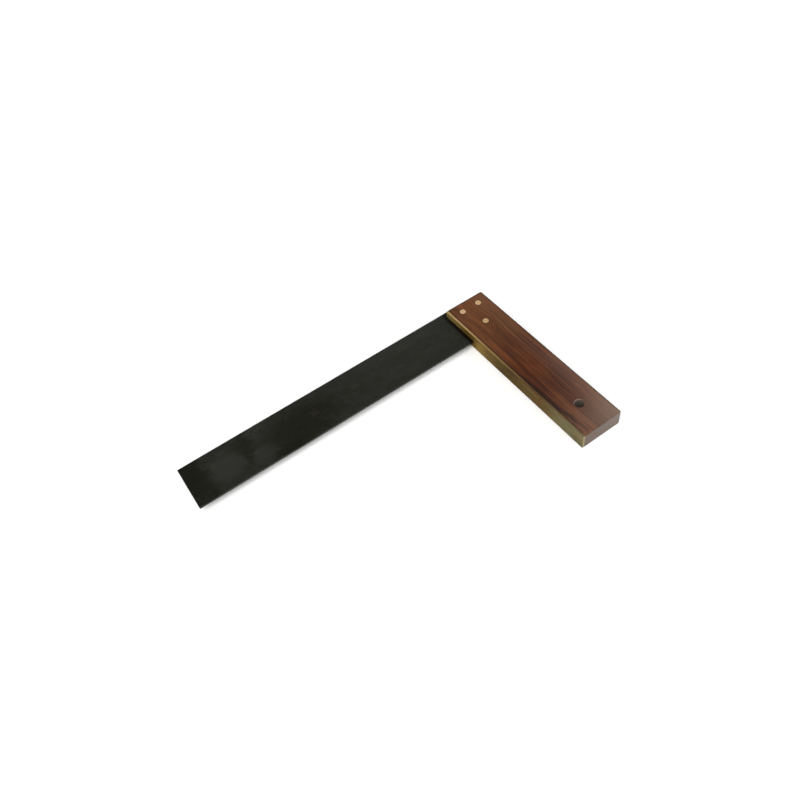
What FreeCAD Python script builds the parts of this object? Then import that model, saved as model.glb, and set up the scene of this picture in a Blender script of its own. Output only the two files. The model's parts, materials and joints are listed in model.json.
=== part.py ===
import FreeCAD, Part
import os
import Sketcher

# A twelve inch joiner's try square, lying flat.  Its blade points along -X and its stock runs along Y.
# The origin is the inner corner of the square, on the bench: the stock's brass face is the plane x = 0,
# the blade's inner edge is the plane y = 0 and the stock's underside is the plane z = 0.

# Driving dimensions in millimetres
SIZES = {
    # blade: a flat strip of steel, with a tongue that runs on into the stock
    "blade_length": 305,  # inner edge, from the stock's face to the tip
    "blade_width": 50,
    "blade_thickness": 2,
    "tongue_depth": 40,  # how far the blade reaches past the stock's face
    "heel_projection": 5.2,  # how far the blade's outer edge stands out past the stock's heel
    # stock: rosewood with a brass face, so stock_width takes in the plate
    "stock_length": 200.5,
    "stock_width": 44.5,
    "stock_thickness": 16.5,
    "arris_radius": 0.4,
    "corner_radius": 1.5,
    "plate_thickness": 2,
    "plate_easing": 0.25,
    # hanging hole, on the rivets' line
    "hang_diameter": 8.5,
    "hang_chamfer": 0.5,
    "hang_inset": 30,  # from the free end
    # rivets: a pair near the heel and one further down, set out about a line along the stock
    "centre_line": 22.5,  # from the stock's face
    "rivet_diameter": 3.2,
    "rivet_flare": 0.5,  # how much each end is peened out, and how deep
    "dimple_diameter": 1.3,
    "dimple_depth": 0.35,
    "pair_spacing": 19.7,
    "pair_inset": 11,  # from the heel
    "lone_inset": 35.8,  # from the heel
    "washer_diameter": 6.5,
    "washer_thickness": 1.2,
    # pins that hold the face plate
    "pin_diameter": 1.8,
    "pin_head_diameter": 3.4,  # at 90 degrees, so a head is as deep as it stands out round its shank
    "pin_length": 10,
    "pin_point": 1.5,
    "fork_pin_inset": 14,  # from the heel
    "first_pin_inset": 62,  # from the heel
    "pin_spacing": 42,
}
PLATE_PIN_COUNT = 4  # along the middle of the plate, past the blade
SAME = 1e-6  # lengths and directions closer than this are the same

# Places on the stock as expressions of the sizes above
SLOT_LENGTH = "(Sizes.blade_width - Sizes.heel_projection)"
SLOT_DEPTH = "(Sizes.tongue_depth - Sizes.plate_thickness)"
SLOT_END = f"(Sizes.stock_length - {SLOT_LENGTH})"
BLADE_UNDERSIDE = "(Sizes.stock_thickness - Sizes.blade_thickness) / 2"
BLADE_TOP = "(Sizes.stock_thickness + Sizes.blade_thickness) / 2"
FREE_END = f"(-{SLOT_END})"
PIN_HEAD_DEPTH = "(Sizes.pin_head_diameter - Sizes.pin_diameter) / 2"

# Each rivet by name: distance from the stock's face, and from its heel
RIVETS = {
    "inner_rivet": ("Sizes.centre_line - Sizes.pair_spacing / 2", "Sizes.pair_inset"),
    "outer_rivet": ("Sizes.centre_line + Sizes.pair_spacing / 2", "Sizes.pair_inset"),
    "lower_rivet": ("Sizes.centre_line", "Sizes.lone_inset"),
}

# Each plate pin by name: distance from the heel, and height above the underside.
# The fork pins sit halfway across the two tines that the blade slot leaves.
PINS = {
    "upper_fork_pin": ("Sizes.fork_pin_inset", f"(Sizes.stock_thickness + {BLADE_TOP}) / 2"),
    "under_fork_pin": ("Sizes.fork_pin_inset", f"{BLADE_UNDERSIDE} / 2"),
}
for number in range(PLATE_PIN_COUNT):
    inset = f"Sizes.first_pin_inset + {number} * Sizes.pin_spacing"
    PINS[f"plate_pin_{number + 1}"] = (inset, "Sizes.stock_thickness / 2")

document = FreeCAD.newDocument("TrySquare")


def fill_sheet():
    """Puts the driving dimensions in a spreadsheet, one alias a row."""
    sheet = document.addObject("Spreadsheet::Sheet", "Sizes")
    for row, (name, value) in enumerate(SIZES.items(), start=1):
        sheet.set(f"A{row}", name)
        sheet.set(f"B{row}", str(value))
        sheet.setAlias(f"B{row}", name)
    document.recompute()


def new_body(name, x="0", y="0", z="0"):
    """An empty body, with its own origin placed in the square's frame by three expressions."""
    body = document.addObject("PartDesign::Body", name)
    body.Label = name
    for axis, place in zip("xyz", (x, y, z)):
        body.setExpression(f"Placement.Base.{axis}", place)
    return body


def new_sketch(body, name, role="XY_Plane", offset="0"):
    """A sketch on one of the body's origin planes, moved along the plane's normal."""
    sketch = body.newObject("Sketcher::SketchObject", name)
    plane = next(item for item in body.Origin.OriginFeatures if item.Role == role)
    sketch.AttachmentSupport = [(plane, "")]
    sketch.MapMode = "FlatFace"
    sketch.setExpression("AttachmentOffset.Base.z", offset)
    return sketch


def pin_down(sketch, geometry, point, across, up):
    """Ties a point of the sketch to its place: two distances from the sketch's origin, as expressions."""
    for kind, axis, place in (("DistanceX", -2, across), ("DistanceY", -1, up)):
        if place == "0":
            sketch.addConstraint(Sketcher.Constraint("PointOnObject", geometry, point, axis))
            continue
        index = sketch.addConstraint(Sketcher.Constraint(kind, -1, 1, geometry, point, 1.0))
        sketch.setExpression(f"Constraints[{index}]", place)


def add_outline(sketch, corners):
    """A closed outline of straight lines.  It starts as one on a circle, and each corner is pinned down."""
    turn = FreeCAD.Rotation(FreeCAD.Vector(0, 0, 1), 360 / len(corners))
    start = FreeCAD.Vector(1, 0, 0)
    first = sketch.GeometryCount
    for _ in corners:
        end = turn.multVec(start)
        sketch.addGeometry(Part.LineSegment(start, end))
        start = end
    for side, (across, up) in enumerate(corners):
        after = (side + 1) % len(corners)
        sketch.addConstraint(Sketcher.Constraint("Coincident", first + side, 2, first + after, 1))
        pin_down(sketch, first + side, 1, across, up)


def add_rectangle(sketch, left, bottom, right, top):
    add_outline(sketch, [(left, bottom), (right, bottom), (right, top), (left, top)])


def add_circle(sketch, across, up, diameter):
    circle = Part.Circle(FreeCAD.Vector(0, 0, 0), FreeCAD.Vector(0, 0, 1), 1.0)
    geometry = sketch.addGeometry(circle)
    pin_down(sketch, geometry, 3, across, up)
    index = sketch.addConstraint(Sketcher.Constraint("Diameter", geometry, 1.0))
    sketch.setExpression(f"Constraints[{index}]", diameter)


def add_pad(body, name, sketch, length):
    pad = body.newObject("PartDesign::Pad", name)
    pad.Profile = sketch
    pad.setExpression("Length", length)
    document.recompute()


def add_pocket(body, name, sketch, depth=None, along_normal=False):
    """A pocket cut against the sketch's normal, or along it.  With no depth it goes right through."""
    pocket = body.newObject("PartDesign::Pocket", name)
    pocket.Profile = sketch
    pocket.Reversed = along_normal
    if depth is None:
        pocket.Type = "ThroughAll"
    else:
        pocket.Type = "Length"
        pocket.setExpression("Length", depth)
    document.recompute()


def add_turning(body, name, sketch):
    """A solid turned about the sketch's upright axis."""
    turning = body.newObject("PartDesign::Revolution", name)
    turning.Profile = sketch
    turning.ReferenceAxis = (sketch, ["V_Axis"])
    turning.Angle = 360
    document.recompute()


def dress_edges(body, name, kind, size_name, size, wanted):
    """A fillet or chamfer on every edge of the body that wanted() picks by its ends."""
    base = body.Tip
    names = []
    for number, edge in enumerate(base.Shape.Edges, start=1):
        if wanted(edge):
            names.append(f"Edge{number}")
    dressing = body.newObject(f"PartDesign::{kind}", name)
    dressing.Base = (base, names)
    dressing.setExpression(size_name, size)
    document.recompute()


def runs_along(edge, axis):
    """Is this a straight edge along X, Y or Z?"""
    if edge.Curve.TypeId != "Part::GeomLine":
        return False
    return abs(abs(edge.Curve.Direction[axis]) - 1) < SAME


def ends_at(edge, axis, *places):
    """Does the whole edge lie at one of these places along the axis?"""
    near = [vertex.Point[axis] for vertex in edge.Vertexes]
    return any(all(abs(value - place) < SAME for value in near) for place in places)


def make_stock():
    """The rosewood stock.  Its own origin is the inner corner of its free end, on the underside."""
    body = new_body("stock", x="Sizes.plate_thickness", y=FREE_END)
    width = "(Sizes.stock_width - Sizes.plate_thickness)"
    top = "Sizes.stock_thickness"

    outline = new_sketch(body, "stock_outline")
    add_rectangle(outline, "0", "0", width, "Sizes.stock_length")
    add_pad(body, "stock_block", outline, top)

    # the slot is open at the heel and on the inner side, and leaves a solid back edge
    slot = new_sketch(body, "stock_slot_outline", offset=BLADE_TOP)
    add_rectangle(slot, "0", SLOT_END, SLOT_DEPTH, "Sizes.stock_length")
    add_pocket(body, "stock_slot", slot, "Sizes.blade_thickness")

    bores = new_sketch(body, "stock_rivet_circles", offset=top)
    upper_seats = new_sketch(body, "stock_upper_seat_circles", offset=top)
    under_seats = new_sketch(body, "stock_under_seat_circles")
    for across, inset in RIVETS.values():
        from_wood = f"{across} - Sizes.plate_thickness"
        from_end = f"Sizes.stock_length - {inset}"
        add_circle(bores, from_wood, from_end, "Sizes.rivet_diameter")
        add_circle(upper_seats, from_wood, from_end, "Sizes.washer_diameter")
        add_circle(under_seats, from_wood, from_end, "Sizes.washer_diameter")
    add_pocket(body, "stock_rivet_bores", bores)
    add_pocket(body, "stock_upper_seats", upper_seats, "Sizes.washer_thickness")
    add_pocket(body, "stock_under_seats", under_seats, "Sizes.washer_thickness", along_normal=True)

    hang = new_sketch(body, "stock_hang_circle", offset=top)
    hang_across = "Sizes.centre_line - Sizes.plate_thickness"
    add_circle(hang, hang_across, "Sizes.hang_inset", "Sizes.hang_diameter")
    add_pocket(body, "stock_hang_hole", hang)

    pins = new_sketch(body, "stock_pin_circles", role="YZ_Plane")
    for inset, height in PINS.values():
        add_circle(pins, f"Sizes.stock_length - ({inset})", height, "Sizes.pin_diameter")
    pin_depth = "Sizes.pin_length - Sizes.plate_thickness"
    add_pocket(body, "stock_pin_bores", pins, pin_depth, along_normal=True)

    # the inner side stays sharp, because the plate lies on it
    back = SIZES["stock_width"] - SIZES["plate_thickness"]
    length = SIZES["stock_length"]
    height = SIZES["stock_thickness"]

    def is_corner(edge):
        return runs_along(edge, 2) and ends_at(edge, 0, back)

    def is_arris(edge):
        if not ends_at(edge, 2, 0, height):
            return False
        is_straight = edge.Curve.TypeId == "Part::GeomLine"
        is_rim = edge.Curve.TypeId == "Part::GeomCircle" and not edge.isClosed()
        on_side = is_straight and ends_at(edge, 0, back)
        on_end = is_straight and ends_at(edge, 1, 0, length)
        return is_rim or on_side or on_end

    def is_hang_rim(edge):
        if edge.Curve.TypeId != "Part::GeomCircle":
            return False
        is_rim = ends_at(edge, 2, 0, height)
        return is_rim and abs(edge.Curve.Radius - SIZES["hang_diameter"] / 2) < SAME

    dress_edges(body, "stock_corners", "Fillet", "Radius", "Sizes.corner_radius", is_corner)
    dress_edges(body, "stock_arrises", "Fillet", "Radius", "Sizes.arris_radius", is_arris)
    dress_edges(body, "stock_hang_rims", "Chamfer", "Size", "Sizes.hang_chamfer", is_hang_rim)
    return body


def make_blade():
    """The steel blade with its tongue.  Its own origin is the inner corner of its tip."""
    body = new_body("blade", x="-Sizes.blade_length", z=BLADE_UNDERSIDE)
    outline = new_sketch(body, "blade_outline")
    add_rectangle(outline, "0", "0", "Sizes.blade_length + Sizes.tongue_depth", "Sizes.blade_width")
    add_pad(body, "blade_strip", outline, "Sizes.blade_thickness")

    bores = new_sketch(body, "blade_rivet_circles", offset="Sizes.blade_thickness")
    for across, inset in RIVETS.values():
        from_tip = f"Sizes.blade_length + {across}"
        from_edge = f"{SLOT_LENGTH} - {inset}"
        add_circle(bores, from_tip, from_edge, "Sizes.rivet_diameter")
    add_pocket(body, "blade_rivet_bores", bores)
    return body


def make_face_plate():
    """The brass face plate, forked round the blade.  Its own origin is the foot of its free end."""
    body = new_body("face_plate", y=FREE_END)
    outline = new_sketch(body, "plate_outline", role="YZ_Plane")
    add_rectangle(outline, "0", "0", "Sizes.stock_length", "Sizes.stock_thickness")
    add_pad(body, "plate_strip", outline, "Sizes.plate_thickness")

    slot = new_sketch(body, "plate_slot_outline", role="YZ_Plane", offset="Sizes.plate_thickness")
    add_rectangle(slot, SLOT_END, BLADE_UNDERSIDE, "Sizes.stock_length", BLADE_TOP)
    add_pocket(body, "plate_slot", slot)

    bores = new_sketch(body, "plate_pin_circles", role="YZ_Plane", offset="Sizes.plate_thickness")
    for inset, height in PINS.values():
        add_circle(bores, f"Sizes.stock_length - ({inset})", height, "Sizes.pin_diameter")
    add_pocket(body, "plate_pin_bores", bores)

    length = SIZES["stock_length"]
    height = SIZES["stock_thickness"]

    def is_countersink(edge):
        if edge.Curve.TypeId != "Part::GeomCircle":
            return False
        return ends_at(edge, 0, 0)

    def is_long_arris(edge):
        return runs_along(edge, 1) and ends_at(edge, 0, 0) and ends_at(edge, 2, 0, height)

    def is_end_arris(edge):
        return runs_along(edge, 0) and ends_at(edge, 1, 0, length) and ends_at(edge, 2, 0, height)

    dress_edges(body, "plate_countersinks", "Chamfer", "Size", PIN_HEAD_DEPTH, is_countersink)
    dress_edges(body, "plate_end_arrises", "Fillet", "Radius", "Sizes.arris_radius", is_end_arris)
    dress_edges(body, "plate_long_arrises", "Chamfer", "Size", "Sizes.plate_easing", is_long_arris)
    return body


def make_rivet(name, across, inset):
    """A brass rivet as deep as the stock, peened out at both ends, with the set's dimple in each end."""
    body = new_body(name, x=across, y=f"{SLOT_LENGTH} - {inset}")
    shank = "Sizes.rivet_diameter / 2"
    head = f"{shank} + Sizes.rivet_flare"
    dimple = "Sizes.dimple_diameter / 2"
    top = "Sizes.stock_thickness"
    profile = new_sketch(body, f"{name}_profile", role="XZ_Plane")
    add_outline(profile, [
        ("0", "Sizes.dimple_depth"),
        (dimple, "0"),
        (head, "0"),
        (shank, "Sizes.rivet_flare"),
        (shank, f"{top} - Sizes.rivet_flare"),
        (head, top),
        (dimple, top),
        ("0", f"{top} - Sizes.dimple_depth"),
    ])
    add_turning(body, f"{name}_turning", profile)
    return body


def make_washer(name, across, inset, is_upper):
    """A brass washer let in flush, with its bore splayed outwards for the rivet's peened end."""
    height = "Sizes.stock_thickness - Sizes.washer_thickness" if is_upper else "0"
    body = new_body(name, x=across, y=f"{SLOT_LENGTH} - {inset}", z=height)
    bore = "Sizes.rivet_diameter / 2"
    splayed = f"{bore} + Sizes.rivet_flare"
    rim = "Sizes.washer_diameter / 2"
    thickness = "Sizes.washer_thickness"
    profile = new_sketch(body, f"{name}_profile", role="XZ_Plane")
    if is_upper:
        lip = f"{thickness} - Sizes.rivet_flare"
        corners = [(bore, "0"), (rim, "0"), (rim, thickness), (splayed, thickness), (bore, lip)]
    else:
        lip = "Sizes.rivet_flare"
        corners = [(splayed, "0"), (rim, "0"), (rim, thickness), (bore, thickness), (bore, lip)]
    add_outline(profile, corners)
    add_turning(body, f"{name}_turning", profile)
    return body


def make_pin(name, inset, height):
    """A countersunk brass pin, driven along +X through the plate, with its head filed flush."""
    body = new_body(name, y=f"{SLOT_LENGTH} - ({inset})", z=height)
    # its sketch's upright axis, Z, is laid along X
    body.Placement.Rotation = FreeCAD.Rotation(FreeCAD.Vector(0, 1, 0), 90)
    shank = "Sizes.pin_diameter / 2"
    profile = new_sketch(body, f"{name}_profile", role="XZ_Plane")
    add_outline(profile, [
        ("0", "0"),
        ("Sizes.pin_head_diameter / 2", "0"),
        (shank, PIN_HEAD_DEPTH),
        (shank, "Sizes.pin_length - Sizes.pin_point"),
        ("0", "Sizes.pin_length"),
    ])
    add_turning(body, f"{name}_turning", profile)
    return body


def write_parts(bodies):
    """Stops if anything in the document failed, then writes each body to its own file."""
    document.recompute()
    for item in document.Objects:
        if "Invalid" in item.State or "Error" in item.State:
            raise RuntimeError(f"{item.Label} failed: {item.State}")
    for body in bodies:
        if body.Shape.isNull() or not body.Shape.isValid() or len(body.Shape.Solids) != 1:
            raise RuntimeError(f"{body.Label} is not one valid solid")
    os.makedirs("parts", exist_ok=True)
    for body in bodies:
        body.Shape.exportStep(f"parts/{body.Label}.step")
        print(body.Label, round(body.Shape.Volume, 1), "mm3")


fill_sheet()
pieces = [make_stock(), make_blade(), make_face_plate()]
for rivet, (rivet_across, rivet_inset) in RIVETS.items():
    pieces.append(make_rivet(rivet, rivet_across, rivet_inset))
    pieces.append(make_washer(f"{rivet}_upper_washer", rivet_across, rivet_inset, True))
    pieces.append(make_washer(f"{rivet}_under_washer", rivet_across, rivet_inset, False))
for pin, (pin_inset, pin_height) in PINS.items():
    pieces.append(make_pin(pin, pin_inset, pin_height))
write_parts(pieces)
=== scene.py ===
import json
import math

import bmesh
import bpy
from mathutils import Euler, Matrix, Vector, noise


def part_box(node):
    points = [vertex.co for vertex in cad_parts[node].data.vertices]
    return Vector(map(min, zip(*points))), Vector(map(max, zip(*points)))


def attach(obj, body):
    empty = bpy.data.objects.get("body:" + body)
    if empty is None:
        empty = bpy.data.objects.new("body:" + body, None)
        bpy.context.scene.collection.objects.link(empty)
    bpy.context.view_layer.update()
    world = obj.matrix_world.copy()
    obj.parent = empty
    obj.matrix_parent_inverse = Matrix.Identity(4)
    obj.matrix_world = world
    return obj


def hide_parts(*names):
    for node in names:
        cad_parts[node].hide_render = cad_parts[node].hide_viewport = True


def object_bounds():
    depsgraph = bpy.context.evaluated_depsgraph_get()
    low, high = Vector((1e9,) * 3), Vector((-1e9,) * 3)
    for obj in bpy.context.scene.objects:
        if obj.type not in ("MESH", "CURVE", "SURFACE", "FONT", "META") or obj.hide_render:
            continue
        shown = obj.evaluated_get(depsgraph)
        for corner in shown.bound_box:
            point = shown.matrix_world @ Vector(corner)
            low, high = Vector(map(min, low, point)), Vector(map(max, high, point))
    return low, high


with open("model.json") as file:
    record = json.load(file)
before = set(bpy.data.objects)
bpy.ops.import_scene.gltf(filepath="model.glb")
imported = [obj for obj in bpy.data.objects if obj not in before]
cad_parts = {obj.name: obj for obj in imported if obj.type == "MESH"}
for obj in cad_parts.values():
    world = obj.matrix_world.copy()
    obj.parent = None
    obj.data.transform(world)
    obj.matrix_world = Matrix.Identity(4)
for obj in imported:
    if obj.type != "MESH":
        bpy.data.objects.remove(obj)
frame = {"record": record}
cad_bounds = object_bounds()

# The try square lies flat with its blade along -X and its stock along Y.  Every length here is in metres.
MM = 0.001
BODY = "root"
RIVETS = ("inner_rivet", "outer_rivet", "lower_rivet")
SIDES = ("upper", "under")
PINS = ("upper_fork_pin", "under_fork_pin", "plate_pin_1", "plate_pin_2", "plate_pin_3", "plate_pin_4")
X, Y, Z = range(3)

# How finely the meshes are made
TURNING_STEPS = 96
ROUNDING_STEPS = 4
SHARP_ANGLE = 40  # degrees; a sharper edge than this isn't shaded smooth
SAME = 1e-7  # lengths closer than this are the same
CUT_TOLERANCE = 1e-8

# The stock's edges, eased and worn by hand
ARRIS_RADIUS = 0.4 * MM
ARRIS_STEPS = 4
ARRIS_WEAR = 0.06 * MM  # how deep the wear goes where it is full
WEAR_BASE = 0.35  # how far towards full it is on average
WEAR_RING = 3 * MM  # how far apart the rings are that let the arrises wander
LONG_WEAR = 14 * MM
SHORT_WEAR = 4 * MM
CORNER_RADIUS = 1.5 * MM
CORNER_STEPS = 7
JOINT_EASING = 0.12 * MM  # along the joint of wood and brass
HANG_ROUNDING = 0.4 * MM

# The metal's edges
BLADE_EASING = 0.12 * MM
PLATE_EASING = 0.25 * MM
PLATE_STEPS = 3
FINE_STEPS = 2
RIM_EASING = 0.06 * MM  # on washers and pin heads

# Rivets and pins
FLARE = 0.5 * MM  # how much each rivet end is peened out
DIMPLE_RADIUS = 0.65 * MM
DIMPLE_DEPTH = 0.35 * MM
DOME_DROP = 0.04 * MM  # how much lower a rivet's rim is than its middle
HEAD_ROUNDING = 0.25 * MM
PIN_SHANK = 0.9 * MM
PIN_HEAD_DEPTH = 0.8 * MM
PIN_POINT = 1.5 * MM
PIN_SINK = 0.01 * MM  # how far a filed pin head lies below the plate


# ---------------------------------------------------------------- meshes

def finish_piece(name, mesh, replaced):
    """Makes the piece an object that stands for its CAD node, rides on the body and shades smoothly."""
    piece = bpy.data.objects.new(name, mesh)
    bpy.context.scene.collection.objects.link(piece)
    mesh.set_sharp_from_angle(angle=math.radians(SHARP_ANGLE))
    for polygon in mesh.polygons:
        polygon.use_smooth = True
    weighted = piece.modifiers.new("even_shading", "WEIGHTED_NORMAL")
    weighted.keep_sharp = True
    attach(piece, BODY)
    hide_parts(replaced)
    return piece


def box_bmesh(low, high):
    shape = bmesh.new()
    bmesh.ops.create_cube(shape, size=1.0)
    size = high - low
    bmesh.ops.scale(shape, vec=size, verts=shape.verts)
    bmesh.ops.translate(shape, vec=(low + high) / 2, verts=shape.verts)
    return shape


def lies(edge, axis, *places):
    """Does the whole edge lie at one of these places along the axis?"""
    return any(all(abs(vertex.co[axis] - place) < SAME for vertex in edge.verts) for place in places)


def ease(shape, edges, radius, steps):
    """Rounds these edges of a bmesh."""
    bmesh.ops.bevel(
        shape, geom=edges, offset=radius, segments=steps, profile=0.5, affect="EDGES", clamp_overlap=True
    )


def to_mesh(shape, name):
    bmesh.ops.recalc_face_normals(shape, faces=shape.faces)
    mesh = bpy.data.meshes.new(name)
    shape.to_mesh(mesh)
    shape.free()
    return mesh


def round_profile(corners, radius):
    """A profile of (radius, height) points with each inner corner rounded by an arc-like curve."""
    points = [Vector(corners[0])]
    for before, corner, after in zip(corners, corners[1:], corners[2:]):
        corner = Vector(corner)
        back = Vector(before) - corner
        forth = Vector(after) - corner
        reach = min(radius, back.length / 2, forth.length / 2)
        start = corner + back.normalized() * reach
        end = corner + forth.normalized() * reach
        for step in range(ROUNDING_STEPS + 1):
            share = step / ROUNDING_STEPS
            points.append(start.lerp(corner, share).lerp(corner.lerp(end, share), share))
    points.append(Vector(corners[-1]))
    return points


def turned(profile, centre, along_x=False):
    """A bmesh turned about Z, or about X, from a profile of (radius, height) points.

    A profile whose ends are on the axis is closed by them, and any other is closed into a ring.
    """
    shape = bmesh.new()
    rings = []
    for radius, height in profile:
        if radius < SAME:
            rings.append([shape.verts.new((0, 0, height))])
            continue
        ring = []
        for step in range(TURNING_STEPS):
            angle = 2 * math.pi * step / TURNING_STEPS
            ring.append(shape.verts.new((radius * math.cos(angle), radius * math.sin(angle), height)))
        rings.append(ring)
    pairs = list(zip(rings, rings[1:]))
    if len(rings[0]) > 1:
        pairs.append((rings[-1], rings[0]))
    for lower, upper in pairs:
        for step in range(TURNING_STEPS):
            after = (step + 1) % TURNING_STEPS
            if len(lower) == 1:
                shape.faces.new((lower[0], upper[after], upper[step]))
            elif len(upper) == 1:
                shape.faces.new((lower[step], lower[after], upper[0]))
            else:
                shape.faces.new((lower[step], lower[after], upper[after], upper[step]))
    if along_x:
        turn = Matrix.Rotation(math.radians(90), 3, "Y")
        bmesh.ops.rotate(shape, cent=(0, 0, 0), matrix=turn, verts=shape.verts)
    bmesh.ops.translate(shape, vec=centre, verts=shape.verts)
    return shape


def cut_away(mesh, cutter):
    """The mesh with the cutter's space removed.  Both are closed."""
    body = bpy.data.objects.new("cut_body", mesh)
    tool = bpy.data.objects.new("cut_tool", to_mesh(cutter, "cut_tool"))
    for item in (body, tool):
        bpy.context.scene.collection.objects.link(item)
    boolean = body.modifiers.new("cut", "BOOLEAN")
    boolean.operation = "DIFFERENCE"
    boolean.solver = "EXACT"
    boolean.object = tool
    graph = bpy.context.evaluated_depsgraph_get()
    result = bpy.data.meshes.new_from_object(body.evaluated_get(graph))
    bpy.data.objects.remove(body)
    bpy.data.objects.remove(tool)
    return result


def rivet_places():
    """Each rivet's centre, ends and radius, with its washers' radius and thickness, from the frame."""
    places = []
    for name in RIVETS:
        low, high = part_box(name)
        washer_low, washer_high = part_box(f"{name}_upper_washer")
        places.append({
            "centre": (low + high) / 2,
            "low": low.z,
            "high": high.z,
            "head": (high.x - low.x) / 2,
            "rim": (washer_high.x - washer_low.x) / 2,
            "thick": washer_high.z - washer_low.z,
        })
    return places


def pin_place(name):
    """The middle of the pin's head, the head's radius and the pin's length, from the frame."""
    low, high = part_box(name)
    head = (high.z - low.z) / 2
    return Vector((low.x, (low.y + high.y) / 2, (low.z + high.z) / 2)), head, high.x - low.x


def hang_hole():
    """The record's mount for the hole the tool hangs by."""
    return next(mount for mount in frame["record"]["mounts"] if mount["name"] == "hang_hole")


def wear_arrises(shape, low, high):
    """Wears the rounded arrises down a little, here more and there less, along their whole length."""
    count = int((high.y - low.y) / WEAR_RING)
    for step in range(1, count):
        place = Vector((0, low.y + (high.y - low.y) * step / count, 0))
        everything = shape.verts[:] + shape.edges[:] + shape.faces[:]
        bmesh.ops.bisect_plane(
            shape, geom=everything, plane_co=place, plane_no=(0, 1, 0), dist=CUT_TOLERANCE
        )
    inset = ARRIS_RADIUS * 0.02  # keeps the flat faces out of it
    middle = (low + high) / 2
    for vertex in shape.verts:
        near_side = high.x - vertex.co.x < ARRIS_RADIUS - inset
        near_end = min(high.y - vertex.co.y, vertex.co.y - low.y) < ARRIS_RADIUS - inset
        drop = ARRIS_RADIUS - min(high.z - vertex.co.z, vertex.co.z - low.z)
        if drop > inset and (near_side or near_end):
            turn = math.acos(max(0.0, min(1.0, drop / ARRIS_RADIUS)))
            wear = noise.noise(vertex.co / LONG_WEAR) + 0.5 * noise.noise(vertex.co / SHORT_WEAR)
            wear = math.sin(2 * turn) * max(0.0, WEAR_BASE + wear)
            toward = Vector((
                -1.0 if near_side else 0.0,
                math.copysign(1.0, middle.y - vertex.co.y) if near_end else 0.0,
                math.copysign(1.0, middle.z - vertex.co.z),
            ))
            vertex.co += toward.normalized() * ARRIS_WEAR * wear


def seat_cutter(place):
    """The space that a rivet and its two washers take up in the stock."""
    shank = place["head"] - FLARE
    seat = place["rim"]
    bottom = place["low"] - place["centre"].z
    top = place["high"] - place["centre"].z
    return turned([
        (0, bottom - MM), (seat, bottom - MM), (seat, bottom + place["thick"]),
        (shank, bottom + place["thick"]), (shank, top - place["thick"]),
        (seat, top - place["thick"]), (seat, top + MM), (0, top + MM),
    ], place["centre"])


def hang_cutter(half):
    """The hanging hole's space, chamfered at both rims.  Half is half the stock's thickness."""
    hang = hang_hole()
    radius = hang["dims"]["r_mm"] * MM
    chamfer = half - hang["dims"]["length_mm"] / 2 * MM
    wide = radius + chamfer
    corners = [
        (0, -half - MM), (wide + MM, -half - MM), (wide, -half), (radius, -half + chamfer),
        (radius, half - chamfer), (wide, half), (wide + MM, half + MM), (0, half + MM),
    ]
    return turned(round_profile(corners, HANG_ROUNDING), Vector(hang["pos_m"]))


def make_stock():
    """The wooden stock: arrises eased by hand, a slot for the blade, seats for the washers, a hang hole."""
    low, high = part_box("stock")
    shape = box_bmesh(low, high)
    corners = [edge for edge in shape.edges if lies(edge, X, high.x) and not lies(edge, Z, low.z, high.z)]
    ease(shape, corners, CORNER_RADIUS, CORNER_STEPS)
    arrises = [edge for edge in shape.edges if lies(edge, Z, low.z, high.z) and not lies(edge, X, low.x)]
    ease(shape, arrises, ARRIS_RADIUS, ARRIS_STEPS)
    joints = [edge for edge in shape.edges if lies(edge, X, low.x) and lies(edge, Z, low.z, high.z)]
    ease(shape, joints, JOINT_EASING, FINE_STEPS)
    wear_arrises(shape, low, high)
    mesh = to_mesh(shape, "stock_wood")

    blade_low, blade_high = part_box("blade")
    slot_low = Vector((low.x - MM, blade_low.y, blade_low.z))
    slot_high = Vector((blade_high.x, high.y + MM, blade_high.z))
    mesh = cut_away(mesh, box_bmesh(slot_low, slot_high))
    for place in rivet_places():
        mesh = cut_away(mesh, seat_cutter(place))
    mesh = cut_away(mesh, hang_cutter((high.z - low.z) / 2))
    for name in PINS:
        start, _, length = pin_place(name)
        deep = start.x + length - low.x
        start.x = low.x
        profile = [(0, -MM), (PIN_SHANK, -MM), (PIN_SHANK, deep), (0, deep)]
        mesh = cut_away(mesh, turned(profile, start, along_x=True))
    return finish_piece("stock_wood", mesh, "stock")


def make_blade():
    """The steel blade, its edges just broken, with its rivet holes in the tongue."""
    low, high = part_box("blade")
    shape = box_bmesh(low, high)
    ease(shape, shape.edges[:], BLADE_EASING, FINE_STEPS)
    mesh = to_mesh(shape, "steel_blade")
    thick = high.z - low.z
    for place in rivet_places():
        shank = place["head"] - FLARE
        profile = [(0, -thick), (shank, -thick), (shank, thick), (0, thick)]
        mesh = cut_away(mesh, turned(profile, place["centre"]))
    return finish_piece("steel_blade", mesh, "blade")


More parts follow.
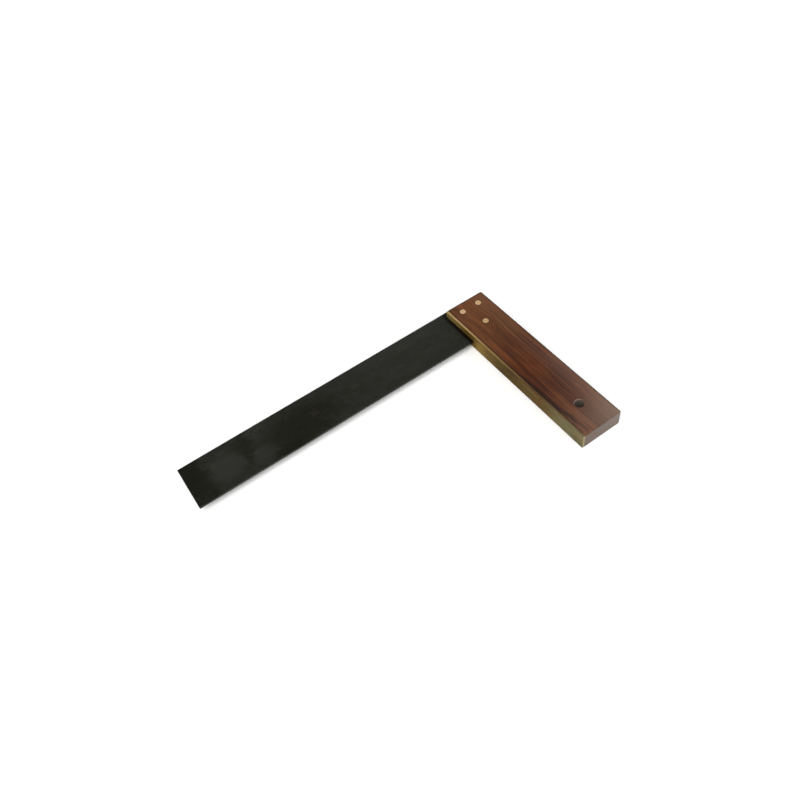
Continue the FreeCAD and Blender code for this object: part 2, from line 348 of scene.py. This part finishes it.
def make_plate():
    """The brass face plate, forked round the blade and countersunk for its pins."""
    low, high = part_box("face_plate")
    shape = box_bmesh(low, high)
    ends = [edge for edge in shape.edges if abs(edge.verts[0].co.x - edge.verts[1].co.x) > MM]
    ease(shape, ends, ARRIS_RADIUS, ARRIS_STEPS)
    ease(shape, [edge for edge in shape.edges if lies(edge, X, low.x)], PLATE_EASING, PLATE_STEPS)
    ease(shape, [edge for edge in shape.edges if lies(edge, X, high.x)], JOINT_EASING, FINE_STEPS)
    mesh = to_mesh(shape, "brass_plate")

    blade_low, blade_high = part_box("blade")
    slot_low = Vector((low.x - MM, blade_low.y, blade_low.z))
    slot_high = Vector((high.x + MM, high.y + MM, blade_high.z))
    mesh = cut_away(mesh, box_bmesh(slot_low, slot_high))
    thick = high.x - low.x
    for name in PINS:
        start, head, _ = pin_place(name)
        slope = (head - PIN_SHANK) / PIN_HEAD_DEPTH
        profile = [
            (0, -MM), (head + slope * MM, -MM), (PIN_SHANK, PIN_HEAD_DEPTH),
            (PIN_SHANK, thick + MM), (0, thick + MM),
        ]
        mesh = cut_away(mesh, turned(profile, start, along_x=True))
    return finish_piece("brass_plate", mesh, "face_plate")


def make_rivet(name, place):
    """A rivet filed off level: a low dome at each end with the set's dimple in it."""
    shank = place["head"] - FLARE
    head = place["head"]
    bottom = place["low"] - place["centre"].z
    top = place["high"] - place["centre"].z
    lip = 0.98 * head
    corners = [
        (0, bottom + DIMPLE_DEPTH), (DIMPLE_RADIUS, bottom), (lip, bottom + DOME_DROP),
        (shank, bottom + FLARE), (shank, top - FLARE), (lip, top - DOME_DROP),
        (DIMPLE_RADIUS, top), (0, top - DIMPLE_DEPTH),
    ]
    shape = turned(round_profile(corners, HEAD_ROUNDING), place["centre"])
    return finish_piece(f"{name}_brass", to_mesh(shape, name), name)


def make_washer(name, place, is_upper):
    """A washer let in flush, splayed for the rivet's head, with its rim just eased."""
    bore = place["head"] - FLARE
    splayed = place["head"]
    rim = place["rim"]
    thick = place["thick"]
    base = place["high"] - thick if is_upper else place["low"] + thick
    outwards = 1 if is_upper else -1
    eased = [
        (bore, 0), (rim, 0), (rim, thick - RIM_EASING), (rim - RIM_EASING, thick - 0.3 * RIM_EASING),
        (splayed + RIM_EASING, thick - 0.3 * RIM_EASING), (splayed - 0.3 * RIM_EASING, thick - RIM_EASING),
        (bore, thick - FLARE),
    ]
    profile = [(radius, outwards * height) for radius, height in eased]
    centre = Vector((place["centre"].x, place["centre"].y, base))
    return finish_piece(f"{name}_brass", to_mesh(turned(profile, centre), name), name)


def make_pin(name):
    """A countersunk pin filed level with the plate."""
    start, head, length = pin_place(name)
    profile = [
        (0, PIN_SINK), (head - RIM_EASING, PIN_SINK), (head - 0.5 * RIM_EASING, RIM_EASING),
        (PIN_SHANK, PIN_HEAD_DEPTH), (PIN_SHANK, length - PIN_POINT), (0, length),
    ]
    shape = turned(profile, start, along_x=True)
    return finish_piece(f"{name}_brass", to_mesh(shape, name), name)


# ---------------------------------------------------------------- materials

def tint(red, green, blue):
    """A colour given on the usual 0 to 255 screen scale, as the renderer's linear colour."""
    def linear(value):
        share = value / 255
        return share / 12.92 if share <= 0.04045 else ((share + 0.055) / 1.055) ** 2.4
    return (linear(red), linear(green), linear(blue), 1.0)


class Paint:
    """One node material in the making.  Each call adds a node and gives back its output.

    Its x, y and z are metres in the square's frame, so a noise's factors are its waves in a metre.
    """

    def __init__(self, name):
        self.material = bpy.data.materials.new(name)
        self.material.use_nodes = True
        self.nodes = self.material.node_tree.nodes
        self.links = self.material.node_tree.links
        self.shader = self.nodes["Principled BSDF"]
        self.place = self.nodes.new("ShaderNodeTexCoord").outputs["Object"]
        split = self.nodes.new("ShaderNodeSeparateXYZ")
        self.links.new(self.place, split.inputs[0])
        self.x, self.y, self.z = split.outputs

    def feed(self, socket, value):
        if isinstance(value, bpy.types.NodeSocket):
            self.links.new(value, socket)
        else:
            socket.default_value = value

    def calc(self, operation, *values):
        node = self.nodes.new("ShaderNodeMath")
        node.operation = operation
        for socket, value in zip(node.inputs, values):
            self.feed(socket, value)
        return node.outputs[0]

    def scaled(self, factors, vector=None):
        node = self.nodes.new("ShaderNodeVectorMath")
        node.operation = "MULTIPLY"
        self.feed(node.inputs[0], self.place if vector is None else vector)
        node.inputs[1].default_value = factors
        return node.outputs[0]

    def point(self, x, y, z):
        node = self.nodes.new("ShaderNodeCombineXYZ")
        for socket, value in zip(node.inputs, (x, y, z)):
            self.feed(socket, value)
        return node.outputs[0]

    def noise(self, vector, detail=2.0, roughness=0.5, distortion=0.0):
        node = self.nodes.new("ShaderNodeTexNoise")
        self.feed(node.inputs["Vector"], vector)
        node.inputs["Scale"].default_value = 1.0
        node.inputs["Detail"].default_value = detail
        node.inputs["Roughness"].default_value = roughness
        node.inputs["Distortion"].default_value = distortion
        return node.outputs["Fac"]

    def ranged(self, value, start, end, low=0.0, high=1.0):
        """Value's way from start to end, eased, as low to high."""
        node = self.nodes.new("ShaderNodeMapRange")
        node.interpolation_type = "SMOOTHSTEP"
        for socket, given in zip(node.inputs, (value, start, end, low, high)):
            self.feed(socket, given)
        return node.outputs[0]

    def blend(self, share, first, second):
        """The first colour where share is 0, the second where it is 1."""
        node = self.nodes.new("ShaderNodeMix")
        node.data_type = "RGBA"
        self.feed(node.inputs[0], share)
        self.feed(node.inputs[6], first)
        self.feed(node.inputs[7], second)
        return node.outputs[2]

    def ramp(self, value, stops):
        """A colour for each place along value.  The stops are (place from 0 to 1, colour)."""
        node = self.nodes.new("ShaderNodeValToRGB")
        node.color_ramp.interpolation = "EASE"
        self.feed(node.inputs[0], value)
        elements = node.color_ramp.elements
        while len(elements) < len(stops):
            elements.new(1.0)
        for element, (place, colour) in zip(elements, stops):
            element.position = place
            element.color = colour
        return node.outputs[0]

    def bump(self, height, depth, under=None):
        """Relief of this depth in metres, laid over the relief under it."""
        node = self.nodes.new("ShaderNodeBump")
        node.inputs["Strength"].default_value = 1.0
        node.inputs["Distance"].default_value = depth
        self.feed(node.inputs["Height"], height)
        if under is not None:
            self.feed(node.inputs["Normal"], under)
        return node.outputs[0]

    def set(self, **values):
        """Sets the shader's inputs, named as on the node with _ for a space."""
        for name, value in values.items():
            self.feed(self.shader.inputs[name.replace("_", " ")], value)

    def arris(self, low, high, reach):
        """1 on the arrises of this box and 0 from reach inwards."""
        gaps = []
        for value, start, end in zip((self.x, self.y, self.z), low, high):
            gaps.append(self.calc("MINIMUM", self.calc("SUBTRACT", value, start),
                                  self.calc("SUBTRACT", end, value)))
        total = self.calc("ADD", self.calc("ADD", gaps[0], gaps[1]), gaps[2])
        largest = self.calc("MAXIMUM", self.calc("MAXIMUM", gaps[0], gaps[1]), gaps[2])
        return self.ranged(self.calc("SUBTRACT", total, largest), 0.0, reach, 1.0, 0.0)

    def beside(self, centre, radius, reach):
        """1 at this radius from an upright axis through centre, 0 from reach away from it."""
        across = self.calc("SUBTRACT", self.x, centre[X])
        along = self.calc("SUBTRACT", self.y, centre[Y])
        distance = self.calc("SQRT", self.calc("ADD", self.calc("MULTIPLY", across, across),
                                               self.calc("MULTIPLY", along, along)))
        gap = self.calc("ABSOLUTE", self.calc("SUBTRACT", distance, radius))
        return self.ranged(gap, 0.0, reach, 1.0, 0.0)


# The wood's dark streaks: how far each is from the square's x = 0, its half width, where it begins and ends
# along the stock, how much it drifts across per length, and how dark it is.  Lengths are in millimetres.
STREAKS = (
    (4.4, 3.3, -46, -150, -0.065, 1.0),
    (8.5, 3.0, -128, -155, 0.0, 0.6),
    (16.4, 0.9, -6, -62, 0.01, 0.6),
    (24.5, 0.6, -3, -48, -0.01, 0.45),
    (30.0, 0.7, -2, -52, 0.0, 0.4),
    (25.0, 0.8, -80, -114, 0.02, 0.7),
    (31.0, 0.8, -78, -112, 0.0, 0.65),
    (38.0, 1.2, -20, -100, 0.01, 0.4),
)


def dark_streaks(paint, across):
    """1 in the wood's dark streaks and 0 beside them.  Across is x, bent to follow the grain."""
    streaks = None
    for place, half, start, end, drift, depth in STREAKS:
        past_middle = paint.calc("SUBTRACT", paint.y, (start + end) / 2 * MM)
        line = paint.calc("MULTIPLY_ADD", past_middle, drift, place * MM)
        gap = paint.calc("ABSOLUTE", paint.calc("SUBTRACT", across, line))
        length = abs(start - end) / 2 * MM
        mask = paint.calc(
            "MULTIPLY",
            paint.ranged(gap, 0.2 * half * MM, half * MM, depth, 0.0),
            paint.ranged(paint.calc("ABSOLUTE", past_middle), 0.7 * length, length, 1.0, 0.0),
        )
        streaks = mask if streaks is None else paint.calc("MAXIMUM", streaks, mask)
    return streaks


def hole_lining_and_glint(paint, colour):
    """The colour with the hanging hole's greyed lining, and a painted highlight on its rim on the heel's
    side.
    """
    hang = hang_hole()
    centre = hang["pos_m"]
    bore = hang["dims"]["r_mm"] * MM
    lining = paint.beside(centre, bore, 0.25 * MM)
    colour = paint.blend(paint.calc("MULTIPLY", lining, 0.85), colour, tint(98, 88, 82))
    rim = paint.beside(centre, bore + 0.4 * MM, 0.4 * MM)
    # A painted highlight on the rim's chamfer on the heel's side.
    rim_glint = paint.calc("MULTIPLY", rim, paint.ranged(paint.y, centre[Y], centre[Y] + bore))
    return paint.blend(paint.calc("MULTIPLY", rim_glint, 0.5), colour, tint(156, 142, 128))


def rosewood():
    low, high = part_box("stock")
    paint = Paint("rosewood")
    wander = paint.noise(paint.scaled((18, 28, 18)), 2.0)
    ripple = paint.noise(paint.scaled((90, 140, 90)), 2.0)
    lean = paint.calc("MULTIPLY", paint.z, 0.3)
    shift = paint.calc("ADD", paint.calc("MULTIPLY", paint.calc("SUBTRACT", wander, 0.5), 6 * MM),
                       paint.calc("MULTIPLY", paint.calc("SUBTRACT", ripple, 0.5), 1.2 * MM))
    across = paint.calc("ADD", paint.calc("ADD", paint.x, shift), paint.calc("SUBTRACT", lean, 0.3 * high.z))
    grain = paint.point(across, paint.y, paint.z)

    figure = paint.noise(paint.scaled((110, 9, 70), grain), 3.0, 0.55, 0.4)
    lines = paint.noise(paint.scaled((620, 8, 420), grain), 4.0, 0.6)
    fibres = paint.noise(paint.scaled((2600, 55, 2600), grain), 3.0, 0.6)
    pores = paint.noise(paint.scaled((3300, 190, 3300), grain), 2.0, 0.6)
    pore_mask = paint.ranged(pores, 0.60, 0.72)

    along = paint.ranged(paint.y, low.y, high.y)
    warm = paint.ramp(along, [
        (0.0, tint(84, 52, 36)), (0.1, tint(82, 48, 32)), (0.25, tint(58, 24, 7)), (0.45, tint(76, 33, 9)),
        (0.62, tint(80, 45, 26)), (0.85, tint(100, 62, 37)), (1.0, tint(108, 69, 42)),
    ])
    deep = paint.blend(0.4, warm, tint(44, 18, 8))
    pale = paint.blend(0.25, warm, tint(138, 80, 40))
    colour = paint.blend(paint.ranged(figure, 0.34, 0.66), deep, pale)
    colour = paint.blend(paint.ranged(lines, 0.5, 0.64, 0.0, 0.62), colour, tint(42, 17, 8))
    colour = paint.blend(paint.ranged(lines, 0.46, 0.32, 0.0, 0.5), colour, tint(124, 70, 34))
    broken = paint.calc("MULTIPLY", dark_streaks(paint, across), paint.ranged(fibres, 0.25, 0.6, 0.55, 1.0))
    colour = paint.blend(broken, colour, tint(34, 12, 5))
    colour = paint.blend(paint.ranged(fibres, 0.35, 0.7, 0.0, 0.3), colour, tint(40, 17, 8))
    colour = paint.blend(paint.calc("MULTIPLY", pore_mask, 0.6), colour, tint(22, 9, 5))
    # A grey haze toward the free end's outer corner: a painted reflection of a soft light in the finish.
    free_end_haze = paint.calc("MULTIPLY", paint.ranged(paint.y, low.y + 45 * MM, low.y, 0.0, 0.5),
                         paint.ranged(paint.x, low.x, high.x, 0.25, 1.0))
    # Paler and greyer toward the outer side, from the middle of the stock to the free end.
    outer_paling = paint.calc("MULTIPLY", paint.ranged(paint.x, 20 * MM, high.x, 0.0, 0.4),
                       paint.ranged(paint.y, -20 * MM, -80 * MM))
    colour = paint.blend(outer_paling, colour, tint(112, 84, 70))
    aged = paint.calc("MULTIPLY", paint.ranged(paint.x, 24 * MM, 36 * MM, 0.0, 0.4),
                      paint.ranged(paint.y, -75 * MM, 10 * MM))
    colour = paint.blend(aged, colour, tint(66, 52, 42))
    colour = paint.blend(free_end_haze, colour, tint(118, 102, 90))
    # The free end face greyed: a painted reflection of the pale floor in its finish.
    end_face_sheen = paint.ranged(paint.y, low.y + 0.1 * MM, low.y + 0.6 * MM, 0.5, 0.0)
    colour = paint.blend(end_face_sheen, colour, tint(74, 70, 62))
    # The arrises darker within 2 mm of each edge, unevenly, except near the free end.
    kept_dark = paint.ranged(paint.y, low.y + 2 * MM, low.y + 6 * MM)
    uneven = paint.ranged(wander, 0.3, 0.7, 0.8, 1.0)
    darkened_arrises = paint.calc("MULTIPLY", paint.arris(low, high, 2.0 * MM), uneven)
    colour = paint.blend(paint.calc("MULTIPLY", darkened_arrises, kept_dark), colour, tint(24, 14, 8))
    for place in rivet_places():
        ring = paint.beside(place["centre"], place["rim"], 1.1 * MM)
        colour = paint.blend(paint.calc("MULTIPLY", ring, 0.75), colour, tint(40, 24, 8))
    colour = hole_lining_and_glint(paint, colour)

    relief = paint.bump(paint.calc("SUBTRACT", paint.calc("MULTIPLY", fibres, 0.3), pore_mask), 0.03 * MM)
    relief = paint.bump(paint.noise(paint.scaled((260, 60, 260)), 2.0), 0.06 * MM, relief)
    satin = paint.ranged(wander, 0.3, 0.7, 0.24, 0.32)
    gloss = paint.calc("ADD", satin, paint.calc("MULTIPLY", pore_mask, 0.2))
    paint.set(Base_Color=colour, Roughness=gloss, Normal=relief, Specular_IOR_Level=0.16)
    return paint.material


def plate_brass():
    low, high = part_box("face_plate")
    paint = Paint("plate_brass")
    brushed = paint.noise(paint.scaled((1800, 30, 2600)), 3.0, 0.6)
    clouds = paint.noise(paint.scaled((60, 45, 140)), 4.0, 0.6, 0.6)
    specks = paint.noise(paint.scaled((900, 700, 900)), 2.0, 0.5)
    along = paint.ranged(paint.y, low.y, high.y)
    # painted reflections and painted shade laid into the brass along its length: olive at the free end,
    # brown in the middle, bright past the blade's inner edge and at the heel
    plate_painted_light = paint.ramp(along, [
        (0.0, tint(105, 105, 85)), (0.2, tint(85, 65, 40)), (0.58, tint(45, 35, 10)),
        (0.73, tint(100, 80, 45)), (0.82, tint(135, 110, 60)), (0.92, tint(120, 90, 35)),
        (1.0, tint(180, 150, 85)),
    ])
    colour = paint.blend(paint.ranged(clouds, 0.35, 0.7, 0.0, 0.5), plate_painted_light, tint(84, 74, 38))
    colour = paint.blend(paint.ranged(brushed, 0.45, 0.7, 0.0, 0.3), colour, tint(190, 162, 100))
    above = paint.calc("SUBTRACT", paint.z, low.z)
    below = paint.calc("SUBTRACT", high.z, paint.z)
    filed = paint.ranged(paint.calc("MINIMUM", above, below), 0.02 * MM, PLATE_EASING, 1.0, 0.0)
    worn = paint.calc("MULTIPLY", filed, paint.ranged(clouds, 0.3, 0.7, 1.0, 0.8))
    # The filed edges are real bright wear, made brighter toward the heel by a painted highlight.
    edge_glint_along = paint.ramp(along, [
        (0.0, tint(114, 97, 72)), (0.25, tint(93, 68, 45)), (0.45, tint(118, 90, 58)),
        (0.7, tint(154, 124, 80)), (1.0, tint(194, 162, 112)),
    ])
    colour = paint.blend(worn, colour, edge_glint_along)
    # A painted highlight along the plate's free end.
    plate_end_glint = paint.ranged(paint.y, low.y + 0.05 * MM, low.y + 0.5 * MM, 0.9, 0.0)
    colour = paint.blend(plate_end_glint, colour, tint(156, 150, 126))
    colour = paint.blend(paint.ranged(specks, 0.64, 0.74, 0.0, 0.5), colour, tint(52, 44, 24))
    relief = paint.bump(brushed, 0.012 * MM)
    relief = paint.bump(clouds, 0.03 * MM, relief)
    gloss = paint.ranged(clouds, 0.3, 0.7, 0.4, 0.55)
    paint.set(Base_Color=colour, Metallic=0.7, Roughness=gloss, Normal=relief)
    paint.set(Specular_IOR_Level=0.2, Specular_Tint=tint(184, 158, 100))
    return paint.material


def rivet_brass():
    paint = Paint("rivet_brass")
    filed = paint.noise(paint.scaled((2200, 260, 900)), 3.0, 0.6)
    clouds = paint.noise(paint.scaled((420, 420, 420)), 3.0, 0.6, 0.4)
    colour = paint.blend(paint.ranged(clouds, 0.35, 0.7), tint(230, 193, 149), tint(212, 169, 125))
    colour = paint.blend(paint.ranged(filed, 0.5, 0.7, 0.0, 0.4), colour, tint(232, 206, 168))
    tarnish = paint.ranged(paint.y, 14 * MM, 28 * MM, 0.45, 0.0)
    colour = paint.blend(tarnish, colour, tint(176, 156, 104))
    for place in rivet_places():
        dimple = paint.beside(place["centre"], 0.0, 1.9 * DIMPLE_RADIUS)
        seam = paint.beside(place["centre"], place["head"], 0.3 * MM)
        rim = paint.beside(place["centre"], place["rim"], 0.4 * MM)
        colour = paint.blend(paint.calc("MULTIPLY", dimple, 0.8), colour, tint(130, 96, 68))
        colour = paint.blend(paint.calc("MULTIPLY", seam, 0.4), colour, tint(150, 118, 76))
        colour = paint.blend(paint.calc("MULTIPLY", rim, 0.9), colour, tint(86, 68, 30))
    relief = paint.bump(filed, 0.015 * MM)
    gloss = paint.ranged(clouds, 0.3, 0.7, 0.42, 0.58)
    paint.set(Base_Color=colour, Metallic=0.75, Roughness=gloss, Normal=relief)
    return paint.material


STOCK_SHADOW_REACH = 5 * MM  # how far the painted shadow of the stock reaches along the blade

# Clouds that oil and handling have left on the blade: place along and across, half length, half width, in
# millimetres, and how much paler or darker they are
CLOUDS = (
    (-266, 25, 20, 16, 0.7),
    (-304, 25, 26, 70, -1.0),
    (-243, 34, 7, 22, -0.6),
    (-228, 44, 9, 8, 0.7),
    (-230, 15, 12, 9, 0.5),
    (-184, 22, 42, 26, -0.75),
    (-206, 4, 22, 8, -0.9),
    (-60, 46, 60, 12, 0.5),
    (-60, 25, 60, 20, 0.2),
)


def clouded(paint, colour, x, y, cloud):
    """The colour with one soft-edged oval cloud laid over it, pale or dark."""
    along, across, length, width, paler = cloud
    first = paint.calc("DIVIDE", paint.calc("SUBTRACT", x, along * MM), length * MM)
    second = paint.calc("DIVIDE", paint.calc("SUBTRACT", y, across * MM), width * MM)
    reach = paint.calc("MULTIPLY_ADD", first, first, paint.calc("MULTIPLY", second, second))
    mask = paint.ranged(reach, 0.1, 1.4, abs(paler), 0.0)
    return paint.blend(mask, colour, tint(54, 54, 50) if paler > 0 else tint(25, 25, 16))


def blued_steel():
    low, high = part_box("blade")
    paint = Paint("blued_steel")
    clouds = paint.noise(paint.scaled((26, 34, 60)), 5.0, 0.6, 0.8)
    mottle = paint.noise(paint.scaled((110, 130, 150)), 4.0, 0.6, 0.5)
    ground = paint.noise(paint.scaled((28, 2600, 1400)), 3.0, 0.65)
    scratches = paint.noise(paint.scaled((60, 1500, 900)), 2.0, 0.5)
    smears = paint.noise(paint.scaled((75, 110, 90)), 6.0, 0.7, 1.2)
    shift = paint.calc("MULTIPLY", paint.calc("SUBTRACT", clouds, 0.5), 20 * MM)
    ragged = paint.calc("MULTIPLY", paint.calc("SUBTRACT", smears, 0.5), 22 * MM)
    x = paint.calc("ADD", paint.x, paint.calc("ADD", shift, ragged))
    y = paint.calc("ADD", paint.y, paint.calc("SUBTRACT", shift, ragged))
    colour = paint.blend(paint.ranged(mottle, 0.35, 0.65), tint(44, 45, 40), tint(39, 39, 33))
    for cloud in CLOUDS:
        colour = clouded(paint, colour, x, y, cloud)
    colour = paint.blend(paint.ranged(smears, 0.56, 0.66, 0.0, 0.3), colour, tint(58, 55, 44))
    colour = paint.blend(paint.ranged(smears, 0.44, 0.36, 0.0, 0.35), colour, tint(26, 26, 20))
    colour = paint.blend(paint.ranged(ground, 0.5, 0.75, 0.0, 0.2), colour, tint(66, 66, 62))
    colour = paint.blend(paint.ranged(scratches, 0.70, 0.78, 0.0, 0.4), colour, tint(88, 88, 83))
    uneven = paint.ranged(mottle, 0.35, 0.65, 0.1, 0.5)
    worn = paint.calc("MULTIPLY", paint.arris(low, high, 0.5 * MM), uneven)
    colour = paint.blend(worn, colour, tint(84, 84, 79))
    # A painted shadow of the stock on the blade beside it.
    corner = paint.ranged(paint.x, -STOCK_SHADOW_REACH, -0.5 * STOCK_SHADOW_REACH)
    colour = paint.blend(paint.calc("MULTIPLY", corner, 0.9), colour, tint(12, 12, 8))
    relief = paint.bump(ground, 0.006 * MM)
    relief = paint.bump(clouds, 0.05 * MM, relief)
    gloss = paint.ranged(clouds, 0.3, 0.7, 0.24, 0.34)
    paint.set(Base_Color=colour, Metallic=0.5, Roughness=gloss, Normal=relief, Specular_IOR_Level=0.25)
    return paint.material


def floor_paint():
    paint = Paint("pale_floor")
    clouds = paint.noise(paint.scaled((7, 7, 7)), 3.0)
    paint.set(Base_Color=paint.blend(clouds, tint(246, 246, 245), tint(250, 250, 249)), Roughness=0.9,
              Specular_IOR_Level=0.1)
    return paint.material


# ---------------------------------------------------------------- stage, light and camera

FLOOR_HALF = 12.0
FLOOR_GAP = 0.2 * MM  # keeps the floor from lying in the same plane as the underside
WORLD_FADE = (0.15, 0.6)  # heights between which the walls of the studio fade to its ceiling
WORLD_LIGHT = (1.0, 0.26)  # how bright the walls and the ceiling are

# The camera looks at this place.  Its angles are in degrees and its lens in millimetres.
VIEW_TARGET = Vector((-0.0985, -0.0132, 0.00825))
VIEW_AZIMUTH = -26.29
VIEW_ELEVATION = 51.66
VIEW_ROLL = -10.36
VIEW_DISTANCE = 0.7082
VIEW_LENS = 33.6

# The broad soft light overhead: the direction it comes from, its strength, and how wide it looks in degrees
SKY_DIRECTION = Vector((-0.35, -0.35, 0.87))
SKY_STRENGTH = 2.6
SKY_WIDTH = 64

# Soft boxes: name, direction from the place looked at, distance, side, power in watts
SOFT_BOXES = (
    ("fill_light", Vector((-0.88, -0.2, 0.42)), 1.5, 0.9, 5.0),
    ("key_light", Vector((0.64, 0.22, 0.74)), 1.3, 0.4, 1.2),
    ("edge_light", Vector((0.46, -0.81, 0.37)), 1.3, 0.5, 4.0),
)


def make_floor():
    shape = bmesh.new()
    bmesh.ops.create_grid(shape, x_segments=8, y_segments=8, size=FLOOR_HALF)
    bmesh.ops.translate(shape, vec=(0, 0, cad_bounds[0].z - FLOOR_GAP), verts=shape.verts)
    floor = bpy.data.objects.new("floor", to_mesh(shape, "floor"))
    bpy.context.scene.collection.objects.link(floor)
    floor.data.materials.append(floor_paint())


def add_light(name, kind, direction, distance):
    light = bpy.data.lights.new(name, kind)
    holder = bpy.data.objects.new(name, light)
    holder.location = VIEW_TARGET + direction.normalized() * distance
    holder.rotation_mode = "QUATERNION"
    holder.rotation_quaternion = direction.to_track_quat("Z", "Y")
    bpy.context.scene.collection.objects.link(holder)
    return light


def make_lights():
    world = bpy.data.worlds.new("studio")
    world.use_nodes = True
    nodes = world.node_tree.nodes
    links = world.node_tree.links
    background = nodes["Background"]
    background.inputs["Color"].default_value = (1.0, 1.0, 1.0, 1.0)
    height = nodes.new("ShaderNodeSeparateXYZ")
    links.new(nodes.new("ShaderNodeTexCoord").outputs["Generated"], height.inputs[0])
    fade = nodes.new("ShaderNodeMapRange")
    fade.interpolation_type = "SMOOTHSTEP"
    for socket, value in zip(fade.inputs, (0.0, *WORLD_FADE, *WORLD_LIGHT)):
        socket.default_value = value
    links.new(height.outputs["Z"], fade.inputs[0])
    links.new(fade.outputs[0], background.inputs["Strength"])
    bpy.context.scene.world = world
    sky = add_light("sky_light", "SUN", SKY_DIRECTION, 2.0)
    sky.energy = SKY_STRENGTH
    sky.angle = math.radians(SKY_WIDTH)
    for name, direction, distance, side, power in SOFT_BOXES:
        light = add_light(name, "AREA", direction, distance)
        light.shape = "SQUARE"
        light.size = side
        light.energy = power


def make_camera():
    azimuth = math.radians(VIEW_AZIMUTH)
    elevation = math.radians(VIEW_ELEVATION)
    back = Vector((
        math.sin(azimuth) * math.cos(elevation),
        -math.cos(azimuth) * math.cos(elevation),
        math.sin(elevation),
    ))
    lens = bpy.data.cameras.new("camera")
    lens.lens = VIEW_LENS
    lens.clip_start = 0.01
    camera = bpy.data.objects.new("camera", lens)
    camera.location = VIEW_TARGET + back * VIEW_DISTANCE
    camera.rotation_mode = "QUATERNION"
    level = back.to_track_quat("Z", "Y")
    camera.rotation_quaternion = level @ Euler((0, 0, math.radians(VIEW_ROLL))).to_quaternion()
    bpy.context.scene.collection.objects.link(camera)
    bpy.context.scene.camera = camera


def main():
    wood_finish = rosewood()
    steel_finish = blued_steel()
    plate_finish = plate_brass()
    rivet_finish = rivet_brass()
    make_stock().data.materials.append(wood_finish)
    make_blade().data.materials.append(steel_finish)
    make_plate().data.materials.append(plate_finish)
    for name, place in zip(RIVETS, rivet_places()):
        make_rivet(name, place).data.materials.append(rivet_finish)
        for side in SIDES:
            washer = make_washer(f"{name}_{side}_washer", place, side == "upper")
            washer.data.materials.append(rivet_finish)
    for name in PINS:
        make_pin(name).data.materials.append(plate_finish)
    make_floor()
    make_lights()
    make_camera()
    bpy.context.scene.view_settings.view_transform = "Standard"


main()
